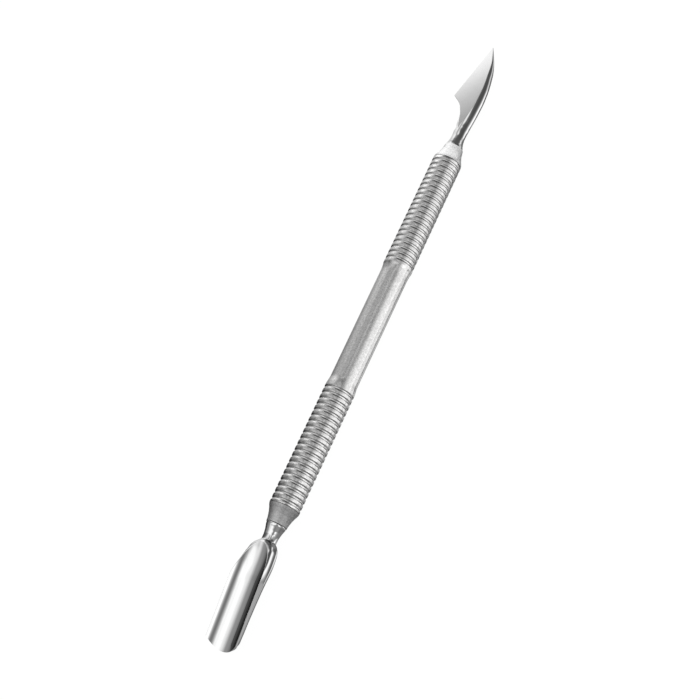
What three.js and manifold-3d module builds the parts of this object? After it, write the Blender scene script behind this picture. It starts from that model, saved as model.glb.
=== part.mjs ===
// Double-ended cuticle pusher: a hollow ringed steel handle closed by two turned
// nose cones, a gouge-shaped pusher at one end and a flat-ground cleaning blade
// at the other.
//
// Frame, in millimetres: the origin is at the middle of the handle on its axis,
// +X runs along the handle towards the blade, +Z is the side the pusher's hollow
// and the blade's ground flat face, and +Y is the side of the blade's heel.
import * as THREE from "three";
import { mergeVertices } from "three/addons/utils/BufferGeometryUtils.js";
import Module from "manifold-3d";

const wasm = await Module();
wasm.setup();

// ---------------------------------------------------------------- shared sizes
const FACETS = 20; // sides of every turned piece
const SEAM = 0.05; // clearance between faces that meet at a seam
const LAND_R = 2.9; // radius over the ring lands of the handle
const TUBE_BLADE_X = 37.75; // seam between the tube and the blade-side cone
const TUBE_PUSHER_X = -37.95; // seam between the tube and the pusher-side cone

// ---------------------------------------------------------------- tools
// A monotone cubic through a table of [x, value] rows, straight beyond its ends.
function curve(rows) {
  const last = rows.length - 1;
  const xs = rows.map((row) => row[0]);
  const values = rows.map((row) => row[1]);
  const widths = [];
  const slopes = [];
  for (let i = 0; i < last; i++) {
    widths.push(xs[i + 1] - xs[i]);
    slopes.push((values[i + 1] - values[i]) / widths[i]);
  }
  const tangents = [slopes[0]];
  for (let i = 1; i < last; i++) {
    if (slopes[i - 1] * slopes[i] <= 0) {
      tangents.push(0);
    } else {
      const before = 2 * widths[i] + widths[i - 1];
      const after = widths[i] + 2 * widths[i - 1];
      tangents.push((before + after) / (before / slopes[i - 1] + after / slopes[i]));
    }
  }
  tangents.push(slopes[last - 1]);

  return (x) => {
    if (x <= xs[0]) return values[0] + (x - xs[0]) * tangents[0];
    if (x >= xs[last]) return values[last] + (x - xs[last]) * tangents[last];
    let i = 0;
    while (x > xs[i + 1]) i++;
    const t = (x - xs[i]) / widths[i];
    const t2 = t * t;
    const t3 = t2 * t;
    return (
      (2 * t3 - 3 * t2 + 1) * values[i] +
      (t3 - 2 * t2 + t) * widths[i] * tangents[i] +
      (3 * t2 - 2 * t3) * values[i + 1] +
      (t3 - t2) * widths[i] * tangents[i + 1]
    );
  };
}

// The listed stations, with each gap divided evenly into steps of at most maxStep.
function stations(list, maxStep) {
  const out = [list[0]];
  for (let i = 1; i < list.length; i++) {
    const gap = list[i] - list[i - 1];
    const steps = Math.max(1, Math.ceil(gap / maxStep - 1e-6));
    for (let k = 1; k <= steps; k++) out.push(list[i - 1] + (gap * k) / steps);
  }
  return out;
}

// Geometry to manifold, joined by position alone.
function solid(geometry) {
  const bare = geometry.clone();
  for (const name of Object.keys(bare.attributes)) {
    if (name !== "position") bare.deleteAttribute(name);
  }
  const merged = mergeVertices(bare, 1e-4);
  return new wasm.Manifold(
    new wasm.Mesh({
      numProp: 3,
      vertProperties: merged.attributes.position.array,
      triVerts: new Uint32Array(merged.index.array),
    }),
  );
}

function geometryOf(manifold) {
  const { numVert, numProp, vertProperties, triVerts } = manifold.getMesh();
  const positions = new Float32Array(numVert * 3);
  for (let i = 0; i < numVert; i++) {
    positions.set(vertProperties.subarray(i * numProp, i * numProp + 3), i * 3);
  }
  const geometry = new THREE.BufferGeometry()
    .setAttribute("position", new THREE.BufferAttribute(positions, 3))
    .setIndex(new THREE.BufferAttribute(new Uint32Array(triVerts), 1));
  geometry.computeVertexNormals();
  return geometry;
}

// A turned piece: rows of [x, radius] that close on themselves, turned about X.
function turned(rows) {
  const points = rows.map(([x, radius]) => new THREE.Vector2(radius, x));
  points.push(points[0].clone());
  // the lathe needs a counterclockwise outline for its faces to point outwards
  let area = 0;
  for (let i = 0; i < points.length - 1; i++) area += points[i].cross(points[i + 1]);
  if (area < 0) points.reverse();
  const geometry = new THREE.LatheGeometry(points, FACETS);
  geometry.rotateZ(-Math.PI / 2); // the lathe's axis, +Y, onto +X
  return solid(geometry);
}

// The outline at x made of [y, z] points.
const outlineAt = (x, points) => points.map(([y, z]) => new THREE.Vector3(x, y, z));

// A solid whose cross-section changes along X. A capped cylinder is reshaped:
// ring number k of the cylinder takes the outline sections[k].
function lofted(sections) {
  const count = sections[0].length;
  const spans = sections.length - 1;
  const geometry = new THREE.CylinderGeometry(1, 1, spans, count, spans, false);
  const position = geometry.attributes.position;
  for (let i = 0; i < position.count; i++) {
    const x = position.getX(i);
    const z = position.getZ(i);
    const ring = sections[Math.round(position.getY(i) + spans / 2)];
    let point;
    if (Math.hypot(x, z) < 0.5) {
      // the middle of a cap goes to the mean of its outline
      point = new THREE.Vector3();
      for (const corner of ring) point.add(corner);
      point.divideScalar(count);
    } else {
      const turn = Math.round((Math.atan2(x, z) / (2 * Math.PI)) * count);
      point = ring[((turn % count) + count) % count];
    }
    position.setXYZ(i, point.x, point.y, point.z);
  }
  return solid(geometry);
}

// ---------------------------------------------------------------- handle tube
const WAIST_R = 2.7; // radius of the plain middle band
const BORE_R = 2.05;
const GROOVE_PITCH = 1.2;
const GROOVE_WIDTH = 0.6;
const GROOVE_DEPTH = 0.15;
const GROOVES = 20; // in each of the two grips
const GRIP_BLADE_X = 37.09; // blade-side edge of the first groove, blade-side grip
const GRIP_PUSHER_X = -14.07; // the same edge, pusher-side grip
// [x, radius] where each grip runs into the middle band
const WAIST_BLADE = [[13.14, 2.89], [12.73, 2.8], [12.3, 2.755], [11.5, WAIST_R]];
const WAIST_PUSHER = [[-11.9, WAIST_R], [-12.35, 2.735], [-13.12, 2.84], [-13.89, LAND_R]];

// [x, radius] rows of one grip's V grooves, from firstX towards the pusher
function grip(firstX) {
  const rows = [];
  for (let i = 0; i < GROOVES; i++) {
    const x = firstX - i * GROOVE_PITCH;
    rows.push([x, LAND_R]);
    rows.push([x - GROOVE_WIDTH / 2, LAND_R - GROOVE_DEPTH]);
    rows.push([x - GROOVE_WIDTH, LAND_R]);
  }
  return rows;
}

function handleTube() {
  const bladeEnd = TUBE_BLADE_X - SEAM;
  const pusherEnd = TUBE_PUSHER_X + SEAM;
  return turned([
    [bladeEnd, LAND_R],
    ...grip(GRIP_BLADE_X),
    ...WAIST_BLADE,
    ...WAIST_PUSHER,
    ...grip(GRIP_PUSHER_X),
    [pusherEnd, LAND_R],
    [pusherEnd, BORE_R],
    [bladeEnd, BORE_R],
  ]);
}

// ---------------------------------------------------------------- nose cones
const SPIGOT_R = 2.0; // plug of a nose cone inside the tube
const SPIGOT_LENGTH = 5;
const SOCKET_R = 1.15; // hole in a nose cone for a tang
// [x, radius] from the tube to the nose
const CONE_BLADE = [
  [TUBE_BLADE_X, 2.89], [38.19, 2.84], [38.62, 2.66], [39.06, 2.48], [39.5, 2.32],
  [39.94, 2.18], [40.38, 2.07], [40.82, 2.0], [41.3, 1.93],
];
const CONE_PUSHER = [
  [TUBE_PUSHER_X, LAND_R], [-38.42, 2.73], [-38.78, 2.56], [-39.14, 2.43], [-39.5, 2.3],
  [-39.86, 2.21], [-40.22, 2.12], [-40.58, 2.045], [-41.25, 1.97],
];

function noseCone(rows) {
  const base = rows[0][0];
  const nose = rows.at(-1)[0];
  const spigotEnd = base - Math.sign(base) * SPIGOT_LENGTH;
  return turned([
    ...rows,
    [nose, SOCKET_R],
    [spigotEnd, SOCKET_R],
    [spigotEnd, SPIGOT_R],
    [base, SPIGOT_R],
  ]);
}

// ---------------------------------------------------------------- tangs
const TANG_R = 1.1;
const TANG_LENGTH = 8; // from the root of a working end towards the handle's middle
const TANG_OVERLAP = 0.3; // from the root into the working end
const BLADE_ROOT_X = CONE_BLADE.at(-1)[0] + SEAM;
const PUSHER_ROOT_X = CONE_PUSHER.at(-1)[0] - SEAM;

function tang(rootX) {
  const side = Math.sign(rootX);
  const outer = rootX + side * TANG_OVERLAP;
  const inner = rootX - side * TANG_LENGTH;
  return turned([[outer, 0], [outer, TANG_R], [inner, TANG_R], [inner, 0]]);
}

// ---------------------------------------------------------------- pusher
// Tables over q = -x, the distance from the middle of the handle.
const SCOOP_Q = 45.6; // where the walls start to follow the hollow
const SCOOP_R = 4; // radius of the hollow across the pusher
const SCOOP_HALF_WIDTH = 3.45; // of the cutter
const SCOOP_TOP_Z = 7;
const WALL_HEIGHT = 2.7; // greatest, above the hollow's floor
const RIM_HALF_WIDTH = 0.02; // least half width at the top of the outline
const PUSHER_TIP_Q = 64.87; // rounded front edge
const PUSHER_EDGE_R = 4.61; // its radius in plan
const PUSHER_LIP = 0.25; // thickness left at the front edge
const BEVEL_LENGTH = 1.6; // ground length behind the front edge
const PLAN = { innerX: -30, halfWidth: 4, height: 14 }; // block that trims the front

const halfWidth = curve([
  [41.3, 1.86], [41.65, 1.835], [42.01, 1.72], [42.36, 1.63], [42.72, 1.54], [43.07, 1.49],
  [43.43, 1.43], [43.78, 1.413], [44.14, 1.408], [44.45, 1.42], [44.6, 1.47], [44.85, 1.75],
  [45.2, 2.0], [45.55, 2.21], [45.9, 2.33], [46.26, 2.44], [46.96, 2.59], [47.66, 2.73],
  [48.5, 2.87], [49.3, 2.98], [50.5, 3.12], [51.5, 3.2], [52.2, 3.243], [53, 3.243],
  [66, 3.243],
]);
const centreZ = curve([
  [41, 0], [46, 0], [46.96, 0.07], [47.66, 0.2], [49.1, 0.42], [50.5, 0.7],
  [52.2, 0.906], [55, 0.81], [58, 0.585], [61.1, 0.27], [63.5, 0.085], [66, -0.12],
]);
// how much shallower the belly is than a half circle
const bellyCut = curve([
  [41, 0], [48, 0], [50.5, 0.12], [52.2, 0.243], [55, 0.343], [58, 0.493],
  [61.1, 0.643], [63.5, 0.743], [66, 0.84],
]);
// 1 is a round shoulder, 0 an upright wall
const shoulder = curve([
  [41, 1], [44.6, 1], [45.3, 1.12], [46.2, 1.06], [47.3, 0.92], [48.3, 0.88],
  [49.4, 0.77], [50.8, 0.53], [52.2, 0.16], [53, 0.05], [66, 0.05],
]);
// z of the hollow's floor
const scoopFloor = curve([
  [SCOOP_Q, 1.7], [46.45, 1.43], [47.3, 1.2], [48.3, 0.97], [49.4, 0.76], [50.8, 0.57],
  [52.2, 0.42], [55, 0.03], [58, -0.39], [61.1, -0.82], [63.5, -1.15], [66, -1.5],
]);
const PUSHER_STATIONS = [
  -PUSHER_ROOT_X, 41.65, 42.2, 42.8, 43.43, 44.14, 44.45, 44.6, 44.85, 45.2, 45.55,
  46.1, 47, 52.2, 63.2, 65.4,
];
const SCOOP_STATIONS = [44.9, SCOOP_Q, 48, 66];

function pusherOutline(q) {
  const width = halfWidth(q);
  const middle = centreZ(q);
  const top = width / shoulder(q);
  let belly = width - bellyCut(q);
  // the ground front: the belly rises to leave a thin lip
  const bevel = (PUSHER_TIP_Q - q) / BEVEL_LENGTH;
  if (bevel < 1) {
    const lip = middle - scoopFloor(q) + PUSHER_LIP;
    belly = Math.min(belly, lip + (belly - lip) * Math.max(bevel, 0));
  }
  const reach = q < SCOOP_Q ? top : Math.min(top, scoopFloor(q) + WALL_HEIGHT - middle);

  const ring = [];
  const bellySteps = 22;
  const wallSteps = 7;
  for (let i = 0; i <= bellySteps; i++) {
    const angle = -Math.PI + (i / bellySteps) * Math.PI;
    ring.push([width * Math.cos(angle), middle + belly * Math.sin(angle)]);
  }
  const wallPoint = (step, side) => {
    const height = reach * Math.sin((step / wallSteps) * (Math.PI / 2));
    const y = width * Math.sqrt(Math.max(1 - (height / top) ** 2, 0));
    return [side * Math.max(y, RIM_HALF_WIDTH), middle + height];
  };
  for (let i = 1; i <= wallSteps; i++) ring.push(wallPoint(i, 1));
  for (let i = wallSteps; i >= 1; i--) ring.push(wallPoint(i, -1));
  return outlineAt(-q, ring);
}

function scoopOutline(q) {
  const floor = scoopFloor(q);
  const half = SCOOP_HALF_WIDTH;
  const steps = 20;
  const ring = [];
  for (let i = 0; i <= steps; i++) {
    const y = -half + (2 * half * i) / steps;
    ring.push([y, floor + SCOOP_R - Math.sqrt(SCOOP_R ** 2 - y * y)]);
  }
  ring.push([half, SCOOP_TOP_Z], [0, SCOOP_TOP_Z], [-half, SCOOP_TOP_Z]);
  return outlineAt(-q, ring);
}

// A block with the rounded front edge in plan.
function frontTrim() {
  const centre = PUSHER_EDGE_R - PUSHER_TIP_Q;
  const sweep = Math.asin(PLAN.halfWidth / PUSHER_EDGE_R);
  const plan = new THREE.Shape();
  plan.moveTo(PLAN.innerX, PLAN.halfWidth);
  plan.lineTo(centre - PUSHER_EDGE_R * Math.cos(sweep), PLAN.halfWidth);
  plan.absarc(centre, 0, PUSHER_EDGE_R, Math.PI - sweep, Math.PI + sweep, false);
  plan.lineTo(PLAN.innerX, -PLAN.halfWidth);
  plan.closePath();
  const block = new THREE.ExtrudeGeometry(plan, {
    depth: PLAN.height,
    bevelEnabled: false,
    curveSegments: 28,
  });
  block.translate(0, 0, -PLAN.height / 2);
  return solid(block);
}

function pusherSpoon() {
  // reversed, so that the sections run towards +X
  const body = lofted(stations(PUSHER_STATIONS, 1.0).reverse().map(pusherOutline));
  const scoop = lofted(stations(SCOOP_STATIONS, 0.9).reverse().map(scoopOutline));
  return body.subtract(scoop).intersect(frontTrim()).add(tang(PUSHER_ROOT_X));
}

// ---------------------------------------------------------------- blade
// Tables over x.
const FLAT_X = 45.8; // where the ground flat runs out into the shank
const FLAT_Z = 1.38; // height of the flat there
const FLAT_SLOPE = -0.02;
const BLADE_TIP_X = 65.81;
const HEEL_X = 53.07;
const HEEL_Y = 4.49;
const EDGE_SLOPE = -0.2582; // cutting edge, heel to tip
const EDGE_THICKNESS = 0.06;
const NOTCH_X = 45.2; // start of the notch between shank and heel
const BLEND_X = [44.6, 47.2]; // the round shank turns into the flat's outline
const SHANK_SHIFT = 0.08; // sideways shift of the shank, as a share of its radius
const UNDER_ANGLE = THREE.MathUtils.degToRad(-40); // where the underside meets the back
const UNDER_SLOPE = 0.22; // fall from the edge to the underside's control point
const UNDER_RISE = 0.02; // least height of that control point above the back's end

// radius of the round back
const backR = curve([
  [41.4, 1.79], [41.7, 1.76], [42.15, 1.61], [42.6, 1.51], [43.03, 1.43], [43.92, 1.37],
  [44.8, 1.39], [45.7, 1.41], [48, 1.39], [50, 1.4], [52, 1.42], [53.4, 1.41],
  [55.2, 1.33], [57.2, 1.22], [59.4, 1.09], [60.9, 0.84], [62.4, 0.52], [64.2, 0.27],
  [BLADE_TIP_X, 0.05],
]);
// y of the ridge between the flat and the back
const ridgeY = curve([
  [FLAT_X, 0.25], [47.9, -0.26], [49.6, -0.56], [51.35, -0.74], [52.9, -0.85],
  [55.2, -0.9], [57.05, -0.79], [59.2, -0.53], [60.7, -0.38], [62.15, -0.14],
  [64, 0.47], [BLADE_TIP_X, 1.14],
]);
// angle of the ridge round the back's centre, in degrees from -Y
const ridgeDeg = curve([
  [41, 90], [FLAT_X, 91], [48, 79], [50, 71], [52, 66], [55.5, 62], [BLADE_TIP_X, 62],
]);
const shankY = curve([[41.4, -0.06], [42.5, 0], [44, 0.09], [FLAT_X, 0.137], [47, 0.13]]);
const notchY = curve([
  [NOTCH_X, 0.6], [45.83, 0.95], [46.73, 1.08], [47.66, 1.18], [48.61, 1.32],
  [49.11, 1.46], [49.64, 1.69], [50.17, 1.94], [50.71, 2.2], [51.33, 2.67],
  [51.97, 3.26], [52.76, 4.18], [HEEL_X, HEEL_Y],
]);
const flatZ = (x) => FLAT_Z + FLAT_SLOPE * (x - FLAT_X);
const edgeY = (x) => HEEL_Y + EDGE_SLOPE * (x - HEEL_X);
const BLADE_STATIONS = [
  BLADE_ROOT_X, 41.7, 42.15, 42.6, 43.2, 44.6, FLAT_X, 47.2, 50.8, 52.5, HEEL_X, 62, 65,
  BLADE_TIP_X,
];

// A quadratic curve from the cutting edge down to the back, tangent to the back.
function undersideCurve(edge, end) {
  const fallen = edge[1] - UNDER_SLOPE * (edge[0] - end[0]);
  const rise = Math.max(fallen - end[1], UNDER_RISE);
  const control = [end[0] + rise * Math.tan(-UNDER_ANGLE), end[1] + rise];
  return (t) =>
    [0, 1].map((i) => (1 - t) ** 2 * edge[i] + 2 * t * (1 - t) * control[i] + t * t * end[i]);
}

// Parameter at which the underside has come in from the edge to y = cut.
function parameterAt(under, cut) {
  let outside = 0;
  let inside = 1;
  for (let i = 0; i < 40; i++) {
    const middle = (outside + inside) / 2;
    if (under(middle)[0] > cut) outside = middle;
    else inside = middle;
  }
  return inside;
}

function bladeOutline(x) {
  const r = backR(x);
  const inShank = x < FLAT_X;
  const ridgeAngle = (ridgeDeg(Math.max(x, FLAT_X)) * Math.PI) / 180;
  const top = inShank ? r : flatZ(x);
  const ridge = inShank ? shankY(x) + r * SHANK_SHIFT : ridgeY(x);
  const centre = [ridge + r * Math.cos(ridgeAngle), top - r * Math.sin(ridgeAngle)];
  const onBack = (angle) => [
    centre[0] + r * Math.cos(angle),
    centre[1] + r * Math.sin(angle),
  ];
  // the outline stops at cut; the uncut blade would reach out to full
  const cut = x < HEEL_X ? notchY(Math.max(x, NOTCH_X)) : edgeY(x);
  const full = Math.max(edgeY(x), cut + 0.001);
  const underEnd = onBack(UNDER_ANGLE);
  const under = undersideCurve([full, top - EDGE_THICKNESS * Math.min(1, r)], underEnd);
  const start = cut < full - 0.002 ? parameterAt(under, cut) : 0;

  const ring = [];
  const flatSteps = 6;
  const underSteps = 7;
  const backSteps = 17;
  for (let i = 0; i <= flatSteps; i++) {
    ring.push([ridge + ((cut - ridge) * i) / flatSteps, top]);
  }
  ring.push([cut, (top + under(start)[1]) / 2]);
  for (let i = 0; i < underSteps; i++) {
    const [y, z] = under(start + ((1 - start) * i) / underSteps);
    ring.push([Math.min(y, Math.max(cut, underEnd[0])), z]);
  }
  const backSweep = -(Math.PI + ridgeAngle) - UNDER_ANGLE;
  for (let i = 0; i < backSteps; i++) {
    ring.push(onBack(UNDER_ANGLE + (backSweep * i) / backSteps));
  }

  // the shank is round, and the flat's outline grows out of it
  const share = THREE.MathUtils.smoothstep(x, ...BLEND_X);
  const blended = ring.map(([y, z]) => {
    const round = onBack(Math.atan2(z - centre[1], y - centre[0]));
    return [round[0] + share * (y - round[0]), round[1] + share * (z - round[1])];
  });
  return outlineAt(x, blended.reverse());
}

function cleanerBlade() {
  const body = lofted(stations(BLADE_STATIONS, 0.9).map(bladeOutline));
  return body.add(tang(BLADE_ROOT_X));
}

// ---------------------------------------------------------------- materials
const satin = () =>
  new THREE.MeshStandardMaterial({ color: 0xb4b4b6, roughness: 0.45, metalness: 1 });
const polished = () =>
  new THREE.MeshStandardMaterial({ color: 0xd6d7d9, roughness: 0.08, metalness: 1 });

// ---------------------------------------------------------------- assembly
const pusher = new THREE.Group();
pusher.name = "cuticle_pusher";
for (const [name, piece, material] of [
  ["handle_tube", handleTube(), satin()],
  ["nose_cone_blade_side", noseCone(CONE_BLADE), satin()],
  ["nose_cone_pusher_side", noseCone(CONE_PUSHER), satin()],
  ["pusher_spoon", pusherSpoon(), polished()],
  ["cleaner_blade", cleanerBlade(), polished()],
]) {
  const mesh = new THREE.Mesh(geometryOf(piece), material);
  mesh.name = name;
  pusher.add(mesh);
}

export default pusher;
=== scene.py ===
"""A double-ended steel hand tool: a ringed handle, two nose cones, a pusher and a cleaning blade.

It lies along X and is centred near the origin. The blade is at +x with its flat facing up (+z),
the pusher is at -x with its hollow facing up. The geometry is in millimetres, the scene in metres.
"""
import math

import bpy
import numpy as np
from mathutils import Matrix, Vector


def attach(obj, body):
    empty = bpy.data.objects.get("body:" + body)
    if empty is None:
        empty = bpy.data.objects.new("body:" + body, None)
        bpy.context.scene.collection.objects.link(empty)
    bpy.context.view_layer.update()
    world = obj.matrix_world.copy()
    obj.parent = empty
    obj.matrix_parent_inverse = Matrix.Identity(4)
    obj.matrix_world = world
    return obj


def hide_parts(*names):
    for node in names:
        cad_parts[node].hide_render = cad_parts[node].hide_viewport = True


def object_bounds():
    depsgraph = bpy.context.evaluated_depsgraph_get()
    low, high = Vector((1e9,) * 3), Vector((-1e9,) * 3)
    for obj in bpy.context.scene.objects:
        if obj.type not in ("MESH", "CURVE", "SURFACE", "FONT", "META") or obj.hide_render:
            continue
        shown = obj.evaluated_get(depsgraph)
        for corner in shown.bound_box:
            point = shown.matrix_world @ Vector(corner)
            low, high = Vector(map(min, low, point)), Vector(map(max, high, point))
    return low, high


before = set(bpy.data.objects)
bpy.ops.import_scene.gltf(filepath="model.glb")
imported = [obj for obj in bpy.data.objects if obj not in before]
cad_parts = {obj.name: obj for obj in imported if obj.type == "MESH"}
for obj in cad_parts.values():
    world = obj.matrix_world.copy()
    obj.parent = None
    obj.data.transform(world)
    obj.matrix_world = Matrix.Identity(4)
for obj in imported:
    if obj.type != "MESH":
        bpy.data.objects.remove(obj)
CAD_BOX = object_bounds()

MM = 0.001


# ---------------------------------------------------------------- shape helpers
def curve(rows):
    """A monotone cubic through rows of (place, value), carried on straight past both ends."""
    places = np.array([row[0] for row in rows], float)
    values = np.array([row[1] for row in rows], float)
    step = np.diff(places)
    slope = np.diff(values) / step
    tangent = np.zeros(len(places))
    tangent[0], tangent[-1] = slope[0], slope[-1]
    for i in range(1, len(places) - 1):
        if slope[i - 1] * slope[i] > 0:
            before, after = 2 * step[i] + step[i - 1], step[i] + 2 * step[i - 1]
            tangent[i] = (before + after) / (before / slope[i - 1] + after / slope[i])

    def value_at(place):
        if place < places[0]:
            return float(values[0] + (place - places[0]) * tangent[0])
        if place > places[-1]:
            return float(values[-1] + (place - places[-1]) * tangent[-1])
        i = min(int(np.searchsorted(places, place, side="right")) - 1, len(step) - 1)
        t = (place - places[i]) / step[i]
        return float(
            (2 * t**3 - 3 * t**2 + 1) * values[i]
            + (t**3 - 2 * t**2 + t) * step[i] * tangent[i]
            + (3 * t**2 - 2 * t**3) * values[i + 1]
            + (t**3 - t**2) * step[i] * tangent[i + 1]
        )

    return value_at


def smooth(low, high, value):
    """0 below low, 1 above high, eased between."""
    t = min(max((value - low) / (high - low), 0.0), 1.0)
    return t * t * (3 - 2 * t)


def bezier(start, control, end, t):
    """Points at t on a quadratic curve."""
    t = np.asarray(t)[..., None]
    return (1 - t) ** 2 * start + 2 * t * (1 - t) * control + t * t * end


def fillet(start, corner, end, count):
    """count+1 points that round off a corner."""
    return bezier(start, corner, end, np.linspace(0, 1, count + 1))


def resample(points, count, trim=0):
    """count+1 points spread evenly along a polyline, with a length trimmed off each end."""
    points = np.asarray(points, float)
    length = np.concatenate([[0], np.cumsum(np.hypot(*np.diff(points, axis=0).T))])
    keep = np.concatenate([[True], np.diff(length) > 1e-9])
    points, length = points[keep], length[keep]
    at = np.linspace(trim, length[-1] - trim, count + 1)
    return np.stack([np.interp(at, length, points[:, axis]) for axis in (0, 1)], 1)


def first_true(low, high, test, steps=60):
    """Where test turns from false to true between low and high, by halving."""
    for _ in range(steps):
        middle = (low + high) / 2
        if test(middle):
            high = middle
        else:
            low = middle
    return high


def spaced(*spans):
    """Stations along touching spans of (start, end, count)."""
    parts = [np.linspace(*span) for span in spans]
    return np.concatenate(parts[:1] + [part[1:] for part in parts[1:]])


def follow(rows, start, end, count):
    """Profile points [x, radius] on the curve through rows."""
    radius = curve(sorted(rows))
    return [[x, radius(x)] for x in np.linspace(start, end, count)]


TURNED_SIDES = 176


def turned(profile):
    """Vertices and faces of a closed profile of [x, radius] turned about X."""
    rows = np.array(profile, float)
    following = np.roll(rows, -1, axis=0)
    if (rows[:, 1] * following[:, 0] - following[:, 1] * rows[:, 0]).sum() > 0:
        rows = rows[::-1]
    count, sides = len(rows), TURNED_SIDES
    angle = np.arange(sides) * 2 * math.pi / sides
    verts = np.zeros((count, sides, 3))
    verts[:, :, 0] = rows[:, None, 0]
    verts[:, :, 1] = rows[:, None, 1] * np.cos(angle)
    verts[:, :, 2] = rows[:, None, 1] * np.sin(angle)
    faces = []
    for i in range(count):
        k = (i + 1) % count
        for j in range(sides):
            m = (j + 1) % sides
            faces.append((i * sides + j, k * sides + j, k * sides + m, i * sides + m))
    return verts.reshape(-1, 3), faces


class Shell:
    """Vertices and faces being gathered."""

    def __init__(self):
        self.verts = []
        self.faces = []

    def add(self, points):
        """Adds the points and returns their numbers."""
        start = len(self.verts)
        self.verts.extend(points)
        return list(range(start, start + len(points)))


# ---------------------------------------------------------------- handle
LAND_R, WAIST_R, BORE_R = 2.9, 2.7, 2.05
TUBE_BLADE_X, TUBE_PUSHER_X = 37.75, -37.95
END_GAP = 0.05  # between each tube end and its cone
PITCH, GROOVES = 1.2, 20
GROOVE_WIDTH, GROOVE_DEPTH = 0.6, 0.15
# blade-side end of each grip's first groove
GRIP_BLADE_X, GRIP_PUSHER_X = 37.09, -14.07
# [x, radius] where the plain waist runs up to each grip
WAIST_BLADE = [
    [10.9, WAIST_R], [11.5, WAIST_R], [12.3, 2.755], [12.73, 2.8], [13.14, 2.89], [13.6, LAND_R],
]
WAIST_PUSHER = [
    [-13.89, LAND_R], [-13.12, 2.84], [-12.35, 2.735], [-11.9, WAIST_R], [-11.3, WAIST_R],
]


def groove(x):
    """One groove from its blade-side edge at x: a round-bottomed channel with eased shoulders."""
    half = GROOVE_WIDTH / 2
    radius = (GROOVE_WIDTH**2 / 4 + GROOVE_DEPTH**2) / (2 * GROOVE_DEPTH)
    shoulder_r = LAND_R - 0.006
    far = x - GROOVE_WIDTH
    channel = []
    for share in np.linspace(1, -1, 15):
        across = share * half
        depth_r = LAND_R - GROOVE_DEPTH + radius - math.sqrt(radius * radius - across * across)
        if depth_r < LAND_R - 0.02:
            channel.append([x - half + across, depth_r])
    return (
        [[x + 0.07, LAND_R], [x + 0.02, shoulder_r]]
        + channel
        + [[far - 0.02, shoulder_r], [far - 0.07, LAND_R]]
    )


def grip(start):
    return [point for i in range(GROOVES) for point in groove(start - i * PITCH)]


def handle_tube():
    blade_end, pusher_end = TUBE_BLADE_X - END_GAP, TUBE_PUSHER_X + END_GAP
    return turned(
        [[blade_end, LAND_R - 0.05], [blade_end - 0.015, LAND_R - 0.02], [blade_end - 0.05, LAND_R]]
        + grip(GRIP_BLADE_X)
        + follow(WAIST_BLADE, 13.5, 11.0, 14)
        + follow(WAIST_PUSHER, -11.4, -13.8, 14)
        + grip(GRIP_PUSHER_X)
        + [[pusher_end + 0.05, LAND_R], [pusher_end + 0.015, LAND_R - 0.02]]
        + [[pusher_end, LAND_R - 0.05], [pusher_end, BORE_R], [blade_end, BORE_R]]
    )


# ---------------------------------------------------------------- nose cones
SPIGOT_R, SPIGOT_LENGTH, SOCKET_R = 2.0, 5, 1.15
# [x, radius] from the base at the tube to the nose
CONE_BLADE = [
    [TUBE_BLADE_X, 2.89], [38.19, 2.84], [38.62, 2.66], [39.06, 2.48], [39.5, 2.32],
    [39.94, 2.18], [40.38, 2.07], [40.82, 2.0], [41.3, 1.93],
]
CONE_PUSHER = [
    [TUBE_PUSHER_X, 2.9], [-38.42, 2.73], [-38.78, 2.56], [-39.14, 2.43], [-39.5, 2.3],
    [-39.86, 2.21], [-40.22, 2.12], [-40.58, 2.045], [-41.25, 1.97],
]


def nose_cone(rows):
    """A cone with a spigot into the tube and a socket through it for the tool's tang."""
    base, nose = rows[0][0], rows[-1][0]
    side = math.copysign(1, base)
    outer = follow(rows, base, nose, 40)
    base_r, nose_r = outer[0][1], outer[-1][1]
    spigot = base - side * SPIGOT_LENGTH
    return turned(
        [[base, base_r - 0.05], [base + side * 0.015, base_r - 0.018]]
        + outer[1:-1]
        + [[nose - side * 0.02, nose_r - 0.008], [nose, nose_r - 0.05]]
        + [[nose, SOCKET_R], [spigot + side * 0.2, SOCKET_R], [spigot, SOCKET_R + 0.2]]
        + [[spigot, SPIGOT_R - 0.25], [spigot + side * 0.25, SPIGOT_R], [base, SPIGOT_R]]
    )


# ---------------------------------------------------------------- tangs
TANG_R, TANG_LENGTH = 1.1, 8


def tang_rings(root, step_r, shank_r):
    """(distance from the middle, radius) along a tang and over the step up to the shank."""
    end = root - TANG_LENGTH
    return [
        (end, TANG_R - 0.2), (end + 0.2, TANG_R), (root - 0.04, TANG_R),
        (root, TANG_R + 0.05), (root, step_r), (root + 0.01, shank_r),
    ]


# ---------------------------------------------------------------- pusher
# Stations are given by their reach, which is -x. Tables hold (reach, value).
half_width = curve([
    (41.3, 1.86), (41.65, 1.835), (42.01, 1.72), (42.36, 1.63), (42.72, 1.54), (43.07, 1.49),
    (43.43, 1.43), (43.78, 1.413), (44.14, 1.408), (44.45, 1.42), (44.6, 1.47), (44.85, 1.75),
    (45.2, 2.0), (45.55, 2.21), (45.9, 2.33), (46.26, 2.44), (46.96, 2.59), (47.66, 2.73),
    (48.5, 2.87), (49.3, 2.98), (50.5, 3.12), (51.5, 3.2), (52.2, 3.243), (53, 3.243), (66, 3.243),
])
# height of the widest line
centre_z = curve([
    (41, 0), (46, 0), (46.96, 0.07), (47.66, 0.2), (49.1, 0.42), (50.5, 0.7), (52.2, 0.906),
    (55, 0.81), (58, 0.585), (61.1, 0.27), (63.5, 0.085), (66, -0.12),
])
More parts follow.
